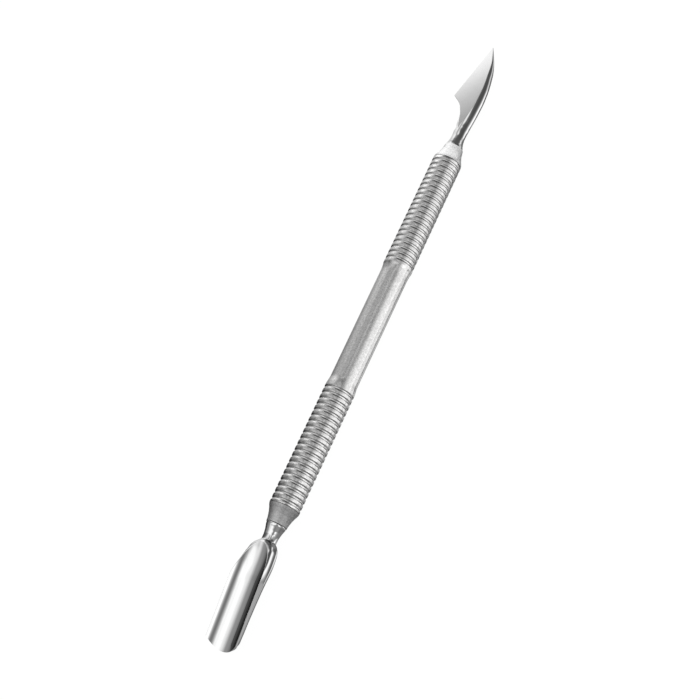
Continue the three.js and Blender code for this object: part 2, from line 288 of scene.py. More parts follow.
# how much shallower the belly is than the half-width
belly_cut = curve([
    (41, 0), (48, 0), (50.5, 0.12), (52.2, 0.243), (55, 0.343), (58, 0.493), (61.1, 0.643),
    (63.5, 0.743), (66, 0.84),
])
# half-width over the height the flanks would reach if they closed
shoulder = curve([
    (41, 1), (44.6, 1), (45.3, 1.12), (46.2, 1.06), (47.3, 0.92), (48.3, 0.88), (49.4, 0.77),
    (50.8, 0.53), (52.2, 0.16), (53, 0.05), (66, 0.05),
])
# lowest height of the hollow
scoop_floor = curve([
    (45.6, 1.7), (46.45, 1.43), (47.3, 1.2), (48.3, 0.97), (49.4, 0.76), (50.8, 0.57),
    (52.2, 0.42), (55, 0.03), (58, -0.39), (61.1, -0.82), (63.5, -1.15), (66, -1.5),
])
# power of the flank's superellipse; 2 is round
squareness = curve([
    (41, 2), (44.7, 2), (45.6, 3.4), (46.4, 5.2), (48.6, 5.2), (50.2, 3.6), (51.6, 2.4),
    (52.6, 2), (66, 2),
])
PUSHER_ROOT = 41.3  # where the tang meets the shank
SCOOP_R = 4.0
TIP_REACH = 64.87
EDGE_R = 4.61  # of the front edge seen from above
BOW_START = 55  # the rows bow more and more from here to the tip
BEVEL = 1.3  # length over which the belly thins to the front edge
LIP = 0.16  # thickness left at the middle of the front edge
FLANK_LIP = 0.45  # added toward the flanks
PUSHER_COLS = 168
EASE_COLS = 4  # columns of the eased rim, on each side


def hollow_z(y, reach):
    return scoop_floor(reach) + SCOOP_R - np.sqrt(np.maximum(SCOOP_R**2 - y * y, 1e-9))


def rim(reach):
    """Half-width of the hollow's mouth and its height. The half-width is 0 before the hollow."""
    width, middle = half_width(reach), centre_z(reach)
    top = width / shoulder(reach)
    if middle + top <= hollow_z(0, reach):
        return 0.0, middle + top

    def wall_y(height):
        return width * math.sqrt(max(1 - (height / top) ** 2, 0))

    # the wall is upright far along the pusher, so the height is searched, not the width
    height = first_true(0.0, top, lambda h: middle + h >= hollow_z(wall_y(h), reach))
    return wall_y(height), middle + height


def pusher_section(reach):
    """Outer points (y, z) from the +y rim under the belly to the -y rim, and inner points
    across the hollow, or None before it."""
    width, middle = half_width(reach), centre_z(reach)
    belly = width - belly_cut(reach)
    rim_y, rim_z = rim(reach)
    rim_height = rim_z - middle
    angle = np.linspace(0, -math.pi, 161)
    low = np.stack([width * np.cos(angle), middle + belly * np.sin(angle)], 1)
    # the flank above the widest line is squarer where the shank swells into the pusher
    power = squareness(reach)
    peak = rim_height / (1 - (rim_y / width) ** power) ** (1 / power)
    rim_angle = math.asin(min(1.0, (rim_height / peak) ** (power / 2)))
    angle = np.linspace(rim_angle, 0, 241)
    flank = np.stack([
        width * np.cos(angle) ** (2 / power),
        middle + peak * np.sin(angle) ** (2 / power),
    ], 1)
    flank[0] = (rim_y, rim_z)
    flank[-1] = (width, middle)
    outer = np.concatenate([flank, low[1:-1], flank[::-1] * np.array([-1.0, 1.0])])
    if rim_y == 0:
        return resample(outer, PUSHER_COLS), None

    across = np.linspace(1, -1, 121) * rim_y
    inner = np.stack([across, hollow_z(across, reach)], 1)
    # the rim is eased: a small round between the wall and the hollow
    ease = min(0.09, 0.25 * rim_y)
    wall, hollow = resample(outer, 200, trim=ease), resample(inner, 200, trim=ease)
    # the +y round runs from the hollow to the wall, the -y round from the wall to the hollow
    plus = fillet(hollow[0], outer[0], wall[0], 2 * EASE_COLS)
    minus = fillet(wall[-1], outer[-1], hollow[-1], 2 * EASE_COLS)
    count = PUSHER_COLS - 2 * EASE_COLS
    return (
        np.concatenate([plus[EASE_COLS:-1], resample(wall, count), minus[1 : EASE_COLS + 1]]),
        np.concatenate([
            plus[: EASE_COLS + 1][::-1][:-1],
            resample(hollow, count),
            minus[EASE_COLS:][::-1][1:],
        ]),
    )


def bowed(points, reach, level):
    """A section placed at reach and bowed to meet the rounded front edge.

    Heights follow the level at each point's own reach.
    """
    bow = smooth(BOW_START, TIP_REACH, reach)
    placed = []
    for y, z in points:
        own = reach - bow * (EDGE_R - math.sqrt(max(EDGE_R**2 - y * y, 0)))
        placed.append([-own, y, z + (level(own) - level(reach))])
    return placed


def thin_front(outer, reach):
    """Raises the belly toward the hollow near the front edge."""
    left = TIP_REACH - reach
    if left >= BEVEL:
        return
    kept = smooth(0, BEVEL, left) * 0.5 + 0.5 * left / BEVEL
    for point in outer[EASE_COLS:-EASE_COLS]:
        side = smooth(0.62, 0.97, abs(point[1]) / half_width(reach))
        thin = hollow_z(point[1], -point[0]) - LIP - FLANK_LIP * side
        if thin > point[2]:
            point[2] += (1 - kept) * (thin - point[2])


def pusher_spoon():
    hollow_start = first_true(44.9, 46.5, lambda reach: rim(reach)[0] > 0)
    shank = np.concatenate([np.linspace(41.34, 44.4, 34), np.linspace(44.45, hollow_start, 26)])
    # the hollow's arched start needs rows that begin close together
    arch = hollow_start + 1.8 * (np.arange(1, 31) / 30) ** 2
    body_end = 58
    body = np.linspace(arch[-1], body_end, 60)[1:]
    to_tip = spaced((TIP_REACH - body_end, 1.9, 22), (1.9, 0.06, 22))[1:]
    front = TIP_REACH - np.concatenate([to_tip, [0.02, 0.0]])

    shell = Shell()
    faces = shell.faces
    outer_rows, inner_rows = [], []

    def add_closed(points):
        row = shell.add(points)
        outer_rows.append(row + [row[0]])

    pole = shell.add([(-(PUSHER_ROOT - TANG_LENGTH), 0, 0)])[0]
    angles = np.linspace(math.pi / 2, -3 * math.pi / 2, PUSHER_COLS + 1)[:-1]
    for reach, radius in tang_rings(PUSHER_ROOT, 1.80, 1.84):
        add_closed([(-reach, radius * math.cos(a), radius * math.sin(a)) for a in angles])
    for reach in shank:
        outer, _ = pusher_section(min(reach, hollow_start - 1e-6))
        add_closed([(-reach, y, z) for y, z in outer[:-1]])
    apex = outer_rows[-1][0]
    for reach in np.concatenate([arch, body, front]):
        outer, inner = pusher_section(reach)
        outer, inner = bowed(outer, reach, centre_z), bowed(inner, reach, scoop_floor)
        # the two surfaces share the rim
        for end in (0, -1):
            outer[end] = [(a + b) / 2 for a, b in zip(outer[end], inner[end])]
        thin_front(outer, reach)
        row = shell.add(outer)
        outer_rows.append(row)
        inner_rows.append([row[0]] + shell.add(inner[1:-1]) + [row[-1]])

    columns = range(PUSHER_COLS)
    first = outer_rows[0]
    faces += [(pole, first[j], first[j + 1]) for j in columns]
    for near, far in zip(outer_rows, outer_rows[1:]):
        faces += [(near[j], far[j], far[j + 1], near[j + 1]) for j in columns]
    first = inner_rows[0]
    faces += [(apex, first[j + 1], first[j]) for j in columns]
    for near, far in zip(inner_rows, inner_rows[1:]):
        faces += [(near[j], near[j + 1], far[j + 1], far[j]) for j in columns]
    # the front edge joins both surfaces; its end faces are triangles at the shared rim
    outer, inner = outer_rows[-1], inner_rows[-1]
    for j in columns:
        corners = (outer[j], inner[j], inner[j + 1], outer[j + 1])
        faces.append(tuple(dict.fromkeys(corners)))
    return shell.verts, [face[::-1] for face in faces]


# ---------------------------------------------------------------- blade
# Tables hold (x, value).
BLADE_ROOT = 41.35  # where the tang meets the shank
ROUND_END_X, FORMED_X = 44.6, 47.2  # the round shank turns into the blade's outline between these
FLAT_X, FLAT_Z, FLAT_SLOPE = 45.8, 1.38, -0.02
BLADE_START_X, BLADE_TIP_X = 41.4, 65.81
HEEL_X, HEEL_Y, EDGE_SLOPE = 53.07, 4.49, -0.2582
EDGE_THICKNESS = 0.05
UNDER_SLOPE = 0.22  # fall of the underside inward from the edge
BACK_START = math.radians(-40)  # where the underside meets the round back
SHANK_START_Y = -0.06
NOTCH_START_X = 43.0
# radius of the round back
back_r = curve([
    (BLADE_START_X, 1.79), (41.7, 1.76), (42.15, 1.61), (42.6, 1.51), (43.03, 1.43), (43.92, 1.37),
    (44.8, 1.39), (45.7, 1.41), (48, 1.39), (50, 1.4), (52, 1.42), (53.4, 1.41), (55.2, 1.33),
    (57.2, 1.22), (59.4, 1.09), (60.9, 0.84), (62.4, 0.52), (64.2, 0.27), (BLADE_TIP_X, 0.05),
])
# y of the ridge between the flat and the back
ridge_y = curve([
    (BLADE_START_X, 0.083), (42.5, 0.122), (44, 0.2), (45.2, 0.235), (46.2, 0.155), (47.9, -0.26),
    (49.6, -0.56), (51.35, -0.74), (52.9, -0.85), (55.2, -0.9), (57.05, -0.79), (59.2, -0.53),
    (60.7, -0.38), (62.15, -0.14), (64, 0.47), (BLADE_TIP_X, 1.14),
])
# angle of the back's round at the ridge, degrees
ridge_deg = curve([
    (41, 90), (45.8, 91), (48, 79), (50, 71), (52, 66), (55.5, 62), (BLADE_TIP_X, 62),
])
# y to which the flat shows its ground finish and its painted reflection
ground_edge = curve([
    (45.2, 0.25), (46.2, 0.6), (47.7, 1.02), (49.2, 1.46), (49.6, 1.7), (50, 6), (66, 6),
])
# y of the notch wall between the shank and the heel
notch_y = curve([
    (NOTCH_START_X, 0.56), (44.4, 0.59), (45.2, 0.67), (45.83, 0.95), (46.73, 1.08), (47.66, 1.18),
    (48.61, 1.32), (49.11, 1.46), (49.64, 1.69), (50.17, 1.94), (50.71, 2.2), (51.33, 2.67),
    (51.97, 3.26), (52.76, 4.18), (HEEL_X, HEEL_Y),
])
FLAT_COLS, WALL_COLS, UNDER_COLS, BACK_COLS = 26, 6, 34, 54
WALL_TURN_COLS, RIDGE_TURN_COLS = 3, 6


def flat_z(x):
    return FLAT_Z + FLAT_SLOPE * (x - FLAT_X)


def edge_y(x):
    return HEEL_Y + EDGE_SLOPE * (x - HEEL_X)


def blade_section(x):
    """Outline (y, z) at x: over the flat, down the wall, under and round the back to the ridge."""
    radius = back_r(x)
    ridge = ridge_y(x)
    ridge_angle = math.radians(ridge_deg(max(x, FLAT_X)))
    top = radius + (flat_z(x) - radius) * smooth(43.5, FLAT_X, x)
    centre_y = ridge + radius * math.cos(ridge_angle)
    middle_z = top - radius * math.sin(ridge_angle)
    cut = notch_y(max(x, NOTCH_START_X)) if x < HEEL_X else edge_y(x)

    # the underside curves from the full edge to the back
    full = max(edge_y(x), cut + 0.001)
    edge = np.array([full, top - EDGE_THICKNESS * min(1, radius)])
    meet = np.array([
        centre_y + radius * math.cos(BACK_START),
        middle_z + radius * math.sin(BACK_START),
    ])
    rise = max(edge[1] - UNDER_SLOPE * (full - meet[0]) - meet[1], 0.02)
    control = np.array([meet[0] + rise * math.tan(-BACK_START), meet[1] + rise])

    def under(t):
        return bezier(edge, control, meet, t)

    cut_t = 0.0
    if cut < full - 0.002:
        cut_t = first_true(0.0, 1.0, lambda t: under(t)[0] <= cut, steps=40)
    # where the round back already lies outside the notch, the notch wall cuts it directly
    wall_cuts_back = meet[0] > cut
    start = BACK_START
    wall_foot = under(cut_t)[1]
    if wall_cuts_back:
        start = -math.acos(max(-1.0, min(1.0, (cut - centre_y) / radius)))
        wall_foot = middle_z + radius * math.sin(start)

    ridge_ease = min(0.06, 0.12 * radius, 0.2 * (cut - ridge))
    wall_ease = min(0.02, 0.3 * (top - wall_foot))
    flat_ys = np.linspace(ridge + ridge_ease, cut - wall_ease, FLAT_COLS + 1)
    flat = np.stack([flat_ys, np.full(FLAT_COLS + 1, top)], 1)
    wall_zs = np.linspace(top - wall_ease, wall_foot + wall_ease * 0.5, WALL_COLS + 1)
    wall = np.stack([np.full(WALL_COLS + 1, cut), wall_zs], 1)
    back_end = -(math.pi + ridge_angle) + ridge_ease / max(radius, 0.02)
    angle = np.linspace(start, back_end, 241)
    back = np.stack([centre_y + radius * np.cos(angle), middle_z + radius * np.sin(angle)], 1)
    if not wall_cuts_back:
        low = under(cut_t + (1 - cut_t) * np.linspace(0, 1, 121))
        low[:, 0] = np.minimum(low[:, 0], cut)
        back = np.concatenate([low[:-1], back])
    back = resample(back, UNDER_COLS + BACK_COLS)[1:]
    wall_turn = fillet(flat[-1], [cut, top], wall[0], WALL_TURN_COLS)
    ridge_turn = fillet(back[-1], [ridge, top], flat[0], RIDGE_TURN_COLS)
    ring = np.concatenate([flat, wall_turn[1:-1], wall, back, ridge_turn[1:-1]])

    # the shank is round, and the flat's outline grows out of it
    formed = smooth(ROUND_END_X, FORMED_X, x)
    angle = np.arctan2(ring[:, 1] - middle_z, ring[:, 0] - centre_y)
    bar = np.stack([centre_y + radius * np.cos(angle), middle_z + radius * np.sin(angle)], 1)
    return bar + formed * (ring - bar)


def cleaner_blade():
    stations = spaced(
        (BLADE_START_X, ROUND_END_X, 36), (ROUND_END_X, FORMED_X, 40), (FORMED_X, 52.4, 54),
        (52.4, HEEL_X, 22), (HEEL_X, 64.6, 96), (64.6, BLADE_TIP_X, 26),
    )
    shell = Shell()
    first = blade_section(stations[0])
    angles = np.arctan2(first[:, 1], first[:, 0] - SHANK_START_Y)
    pole = shell.add([(BLADE_ROOT - TANG_LENGTH, 0, 0)])[0]
    rings = []
    for x, radius in tang_rings(BLADE_ROOT, 1.72, 1.765):
        rings.append(shell.add([(x, radius * math.cos(a), radius * math.sin(a)) for a in angles]))
    for x in stations:
        rings.append(shell.add([(x, y, z) for y, z in blade_section(x)]))
    tip_centre = np.mean([shell.verts[i] for i in rings[-1]], axis=0)
    tip = shell.add([tuple(tip_centre + np.array([0.01, 0, 0]))])[0]

    count = len(first)
    for j in range(count):
        k = (j + 1) % count
        shell.faces.append((pole, rings[0][j], rings[0][k]))
        shell.faces.append((tip, rings[-1][k], rings[-1][j]))
    for near, far in zip(rings, rings[1:]):
        for j in range(count):
            k = (j + 1) % count
            shell.faces.append((near[j], far[j], far[k], near[k]))
    return shell.verts, shell.faces


# ---------------------------------------------------------------- node helpers
class Nodes:
    """Short names for the shader nodes of one material or world, whose tree it empties first."""

    def __init__(self, owner):
        owner.use_nodes = True
        self.tree = owner.node_tree
        self.tree.nodes.clear()

    def new(self, kind, **settings):
        node = self.tree.nodes.new(kind)
        node.location = (40 * len(self.tree.nodes), 0)
        for key, value in settings.items():
            setattr(node, key, value)
        return node

    def feed(self, socket, value):
        """Links a socket, or sets a plain value."""
        if isinstance(value, bpy.types.NodeSocket):
            self.tree.links.new(value, socket)
        else:
            socket.default_value = value

    def feed_all(self, node, values):
        """Feeds the inputs of a node, given by name or number."""
        for key, value in values.items():
            self.feed(node.inputs[key], value)

    def math(self, operation, *values):
        node = self.new("ShaderNodeMath", operation=operation)
        self.feed_all(node, dict(enumerate(values)))
        return node.outputs[0]

    def vector(self, operation, *values):
        node = self.new("ShaderNodeVectorMath", operation=operation)
        self.feed_all(node, dict(enumerate(values)))
        return node.outputs[0]

    def separate(self, vector):
        node = self.new("ShaderNodeSeparateXYZ")
        self.feed(node.inputs[0], vector)
        return node.outputs

    def vary(self, pattern, around, by, middle=0.5):
        """around, moved up and down by a pattern that is centred on middle."""
        centred = self.math("SUBTRACT", pattern, middle)
        return self.math("ADD", around, self.math("MULTIPLY", centred, by))

    def span(self, value, low, high, kind="SMOOTHSTEP"):
        """0 to 1 as value goes from low to high."""
        node = self.new("ShaderNodeMapRange", interpolation_type=kind, clamp=True)
        self.feed_all(node, {0: value, 1: low, 2: high})
        return node.outputs[0]

    def mix(self, factor, first, second):
        node = self.new("ShaderNodeMix", data_type="FLOAT")
        self.feed_all(node, {0: factor, 2: first, 3: second})
        return node.outputs[0]

    def multiply_colours(self, first, second):
        node = self.new("ShaderNodeMix", data_type="RGBA", blend_type="MULTIPLY")
        self.feed_all(node, {0: 1.0, 6: first, 7: second})
        return node.outputs[2]

    def noise(self, vector, scale, detail, roughness):
        node = self.new("ShaderNodeTexNoise")
        values = {"Vector": vector, "Scale": scale, "Detail": detail, "Roughness": roughness}
        self.feed_all(node, values)
        return node.outputs["Fac"]

    def grey(self, value):
        node = self.new("ShaderNodeCombineColor")
        self.feed_all(node, {0: value, 1: value, 2: value})
        return node.outputs[0]

    def grey_ramp(self, factor, stops):
        """A linear ramp through (place, grey) stops, whose places run from 0 to 1."""
        node = self.new("ShaderNodeValToRGB")
        elements = node.color_ramp.elements
        elements[0].position, elements[1].position = stops[0][0], stops[-1][0]
        for place, _ in stops[1:-1]:
            elements.new(place)
        for element, (_, value) in zip(elements, stops):
            element.color = (value, value, value, 1.0)
        self.feed(node.inputs[0], factor)
        return node.outputs[0]


def metal(name):
    """A new metal: the material, its nodes and its shader."""
    made = bpy.data.materials.new(name)
    nodes = Nodes(made)
    out = nodes.new("ShaderNodeOutputMaterial")
    shader = nodes.new("ShaderNodeBsdfPrincipled")
    nodes.feed(out.inputs["Surface"], shader.outputs[0])
    shader.inputs["Metallic"].default_value = 1.0
    return made, nodes, shader


def millimetres(nodes):
    """Object coordinates in millimetres."""
    coordinates = nodes.new("ShaderNodeTexCoord")
    return nodes.vector("MULTIPLY", coordinates.outputs["Object"], (1000.0, 1000.0, 1000.0))


def bump(nodes, shader, height, depth_mm):
    node = nodes.new("ShaderNodeBump")
    nodes.feed_all(node, {"Strength": 1.0, "Distance": depth_mm * MM, "Height": height})
    nodes.feed(shader.inputs["Normal"], node.outputs[0])


def painted_darkening_in_reflections(nodes, value, share):
    """Painted shade: the colour value, times share on rays already reflected, so steel seen in
    steel looks darker.
    """
    path = nodes.new("ShaderNodeLightPath")
    return nodes.math("MULTIPLY", value, nodes.mix(path.outputs["Is Glossy Ray"], 1.0, share))


# ---------------------------------------------------------------- materials
def satin_steel():
    """Fine blasted stainless: a soft speckle with a faint cloud over it."""
    made, nodes, shader = metal("satin_stainless")
    place = millimetres(nodes)
    grain = nodes.noise(place, scale=3.1, detail=3.0, roughness=0.65)
    fine = nodes.noise(place, scale=11.0, detail=1.0, roughness=0.5)
    cloud = nodes.noise(place, scale=0.35, detail=2.0, roughness=0.5)
    tone = nodes.vary(grain, around=0.55, by=0.58)
    tone = nodes.vary(cloud, around=tone, by=0.08)
    # painted shade: this steel's colour is darker where it is seen in other steel
    tone = painted_darkening_in_reflections(nodes, tone, share=0.35)
    warm_white = (1.0, 0.995, 0.99, 1)
    colour = nodes.multiply_colours(nodes.grey(tone), warm_white)
    nodes.feed(shader.inputs["Base Color"], colour)
    nodes.feed(shader.inputs["Roughness"], nodes.vary(fine, around=0.22, by=0.16))
    height = nodes.math("ADD", grain, nodes.math("MULTIPLY", fine, 0.5))
    bump(nodes, shader, height, depth_mm=0.004)
    return made


def blasted_steel():
    """Coarser, duller blasted stainless."""
    made, nodes, shader = metal("blasted_stainless")
    place = millimetres(nodes)
    grain = nodes.noise(place, scale=3.0, detail=3.0, roughness=0.65)
    cloud = nodes.noise(place, scale=0.8, detail=2.0, roughness=0.5)
    tone = nodes.vary(grain, around=0.60, by=0.7)
    tone = nodes.vary(cloud, around=tone, by=0.12)
    # painted shade: this steel's colour is darker where it is seen in other steel
    tone = painted_darkening_in_reflections(nodes, tone, share=0.55)
    nodes.feed(shader.inputs["Base Color"], nodes.grey(tone))
    nodes.feed(shader.inputs["Roughness"], nodes.vary(grain, around=0.5, by=0.2))
    bump(nodes, shader, grain, depth_mm=0.008)
    return made


def polished_steel():
    """Mirror-polished stainless with the faintest buffing lines along the tool."""
    made, nodes, shader = metal("polished_stainless")
    place = millimetres(nodes)
    along = nodes.vector("MULTIPLY", place, (0.25, 9.0, 9.0))
    lines = nodes.noise(along, scale=2.2, detail=3.0, roughness=0.6)
    smudge = nodes.noise(place, scale=0.45, detail=3.0, roughness=0.55)
    # painted shade: the mirror's colour is nearly black where it is seen in other steel
    tone = painted_darkening_in_reflections(nodes, nodes.vary(smudge, around=0.80, by=0.04), share=0.06)
    nodes.feed(shader.inputs["Base Color"], nodes.grey(tone))
    rough = nodes.vary(smudge, around=0.035, by=0.04, middle=0.4)
    rough = nodes.vary(lines, around=rough, by=0.03)
    smoothest = 0.015
    nodes.feed(shader.inputs["Roughness"], nodes.math("MAXIMUM", rough, smoothest))
    bump(nodes, shader, lines, depth_mm=0.0004)
    return made


# (distance, tone) of the painted reflection on the ground flat, over x + EDGE_PULL * y in mm: its
# colour brightens toward the tip and the edge in place of the light it reflects
FLAT_PAINTED_REFLECTION = [
    (46.0, 0.36), (48.9, 0.41), (54.3, 0.55), (58.2, 0.69), (60.0, 0.78), (62.3, 0.88),
    (65.0, 0.95), (67.0, 0.97),
]
EDGE_PULL = 1.1


def ground_finish_with_painted_reflection():
    """The blade's ground flat: fine grinding lines across it, over a painted reflection that
    brightens toward the tip and the edge.
    """
    made, nodes, shader = metal("steel_ground_with_painted_reflection")
    place = millimetres(nodes)
    across = nodes.vector("MULTIPLY", place, (9.0, 0.3, 1.0))
    lines = nodes.noise(across, scale=1.6, detail=3.0, roughness=0.6)
    x, y, _ = nodes.separate(place)
    cloud = nodes.noise(place, scale=0.7, detail=2.0, roughness=0.5)
    toward_tip = nodes.math("ADD", x, nodes.math("MULTIPLY", y, EDGE_PULL))
    low, high = FLAT_PAINTED_REFLECTION[0][0], FLAT_PAINTED_REFLECTION[-1][0]
    stops = [((distance - low) / (high - low), tone) for distance, tone in FLAT_PAINTED_REFLECTION]
    # painted reflection: a brightness ramp painted into the flat's colour, dark at the heel and
    # light at the tip
    painted_tone_ramp = nodes.grey_ramp(nodes.span(toward_tip, low, high, kind="LINEAR"), stops)
    tone = nodes.vary(lines, around=painted_tone_ramp, by=0.07)
    tone = nodes.vary(cloud, around=tone, by=0.05)
    nodes.feed(shader.inputs["Base Color"], nodes.grey(tone))
    nodes.feed(shader.inputs["Roughness"], nodes.vary(lines, around=0.22, by=0.12))
    bump(nodes, shader, lines, depth_mm=0.0012)
    return made


SATIN, BLASTED = satin_steel(), blasted_steel()
POLISHED, GRINDING_AND_PAINTED_REFLECTION = polished_steel(), ground_finish_with_painted_reflection()


# ---------------------------------------------------------------- pieces
SHARP_ANGLE = math.radians(35)


def link_object(name, data):
    made = bpy.data.objects.new(name, data)
    bpy.context.scene.collection.objects.link(made)
    return made


def piece(name, made, materials):
    verts, faces = made
    mesh = bpy.data.meshes.new(name)
    mesh.from_pydata([tuple(v * MM) for v in np.asarray(verts, float)], [], faces)
    mesh.validate()
    for finish in materials:
        mesh.materials.append(finish)
    mesh.polygons.foreach_set("use_smooth", [True] * len(mesh.polygons))
    mesh.set_sharp_from_angle(angle=SHARP_ANGLE)
    mesh.update()
    return link_object(name, mesh)


def grind_flat(blade):
    """Gives the upward faces of the flat the blade's second material: grinding lines over a painted
    reflection.
    """
    for face in blade.data.polygons:
        x, y = face.center.x / MM, face.center.y / MM
        if face.normal.z > 0.97 and x > 45.3 and ridge_y(x) < y < ground_edge(x):
            face.material_index = 1


# name, shape, CAD node it replaces, slot, materials
PIECES = [
    ("ringed_handle", handle_tube(), "handle_tube", "satin_steel", [SATIN]),
    ("blade_nose_cone", nose_cone(CONE_BLADE), "nose_cone_blade_side", "blasted_steel", [BLASTED]),
    ("pusher_nose_cone", nose_cone(CONE_PUSHER), "nose_cone_pusher_side", "blasted_steel",
     [BLASTED]),
    ("pusher", pusher_spoon(), "pusher_spoon", "polished_steel", [POLISHED]),
    ("cleaning_blade", cleaner_blade(), "cleaner_blade", "polished_steel", [POLISHED, GRINDING_AND_PAINTED_REFLECTION]),
]
for name, shape, node, slot, materials in PIECES:
    part = piece(name, shape, materials)
    if name == "cleaning_blade":
        grind_flat(part)
    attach(part, "root")
    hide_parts(node)

# the CAD solids are covered by the pieces above, and keep the same finishes
for _, _, node, _, materials in PIECES:
    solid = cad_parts[node]
    solid.data.materials.clear()
    solid.data.materials.append(materials[0])


# ---------------------------------------------------------------- floor
FLOOR_GLOW = 1.1
FLOOR_PAPER = 0.12  # share of lit paper in the glowing floor
FLOOR_SIDES = 96
FLOOR_RADII = [0.05, 0.12, 0.3, 0.8, 2.0, 5.0, 12.0]  # metres


def floor_material():
    made = bpy.data.materials.new("studio_floor")
    nodes = Nodes(made)
    out = nodes.new("ShaderNodeOutputMaterial")
    glow = nodes.new("ShaderNodeEmission")
    paper = nodes.new("ShaderNodeBsdfDiffuse")
    nodes.feed_all(paper, {"Color": (0.86, 0.86, 0.86, 1)})
    nodes.feed_all(glow, {"Color": (1, 1, 1, 1), "Strength": FLOOR_GLOW})
    both = nodes.new("ShaderNodeMixShader")
    nodes.feed_all(both, {0: FLOOR_PAPER, 1: glow.outputs[0], 2: paper.outputs[0]})
    nodes.feed(out.inputs["Surface"], both.outputs[0])
    return made


def floor():
    """A disc of rings under the tool."""
    low = CAD_BOX[0][2]
    sides = FLOOR_SIDES
    verts = [(0, 0, low)]
    for radius in FLOOR_RADII:
        for i in range(sides):
            angle = 2 * math.pi * i / sides
            verts.append((radius * math.cos(angle), radius * math.sin(angle), low))
    faces = [(0, 1 + i, 1 + (i + 1) % sides) for i in range(sides)]
    for k in range(len(FLOOR_RADII) - 1):
        ring = 1 + k * sides
        for i in range(sides):
            j = (i + 1) % sides
            faces.append((ring + i, ring + sides + i, ring + sides + j, ring + j))
    mesh = bpy.data.meshes.new("studio_floor")
    mesh.from_pydata(verts, [], faces)
    made = link_object("studio_floor", mesh)
    mesh.materials.append(floor_material())
    # the steel sees the studio's own lower half instead of the paper
    made.visible_glossy = False
    made.visible_shadow = False


floor()


# ---------------------------------------------------------------- studio
SKY_SEEN = 1.03  # brightness the camera sees
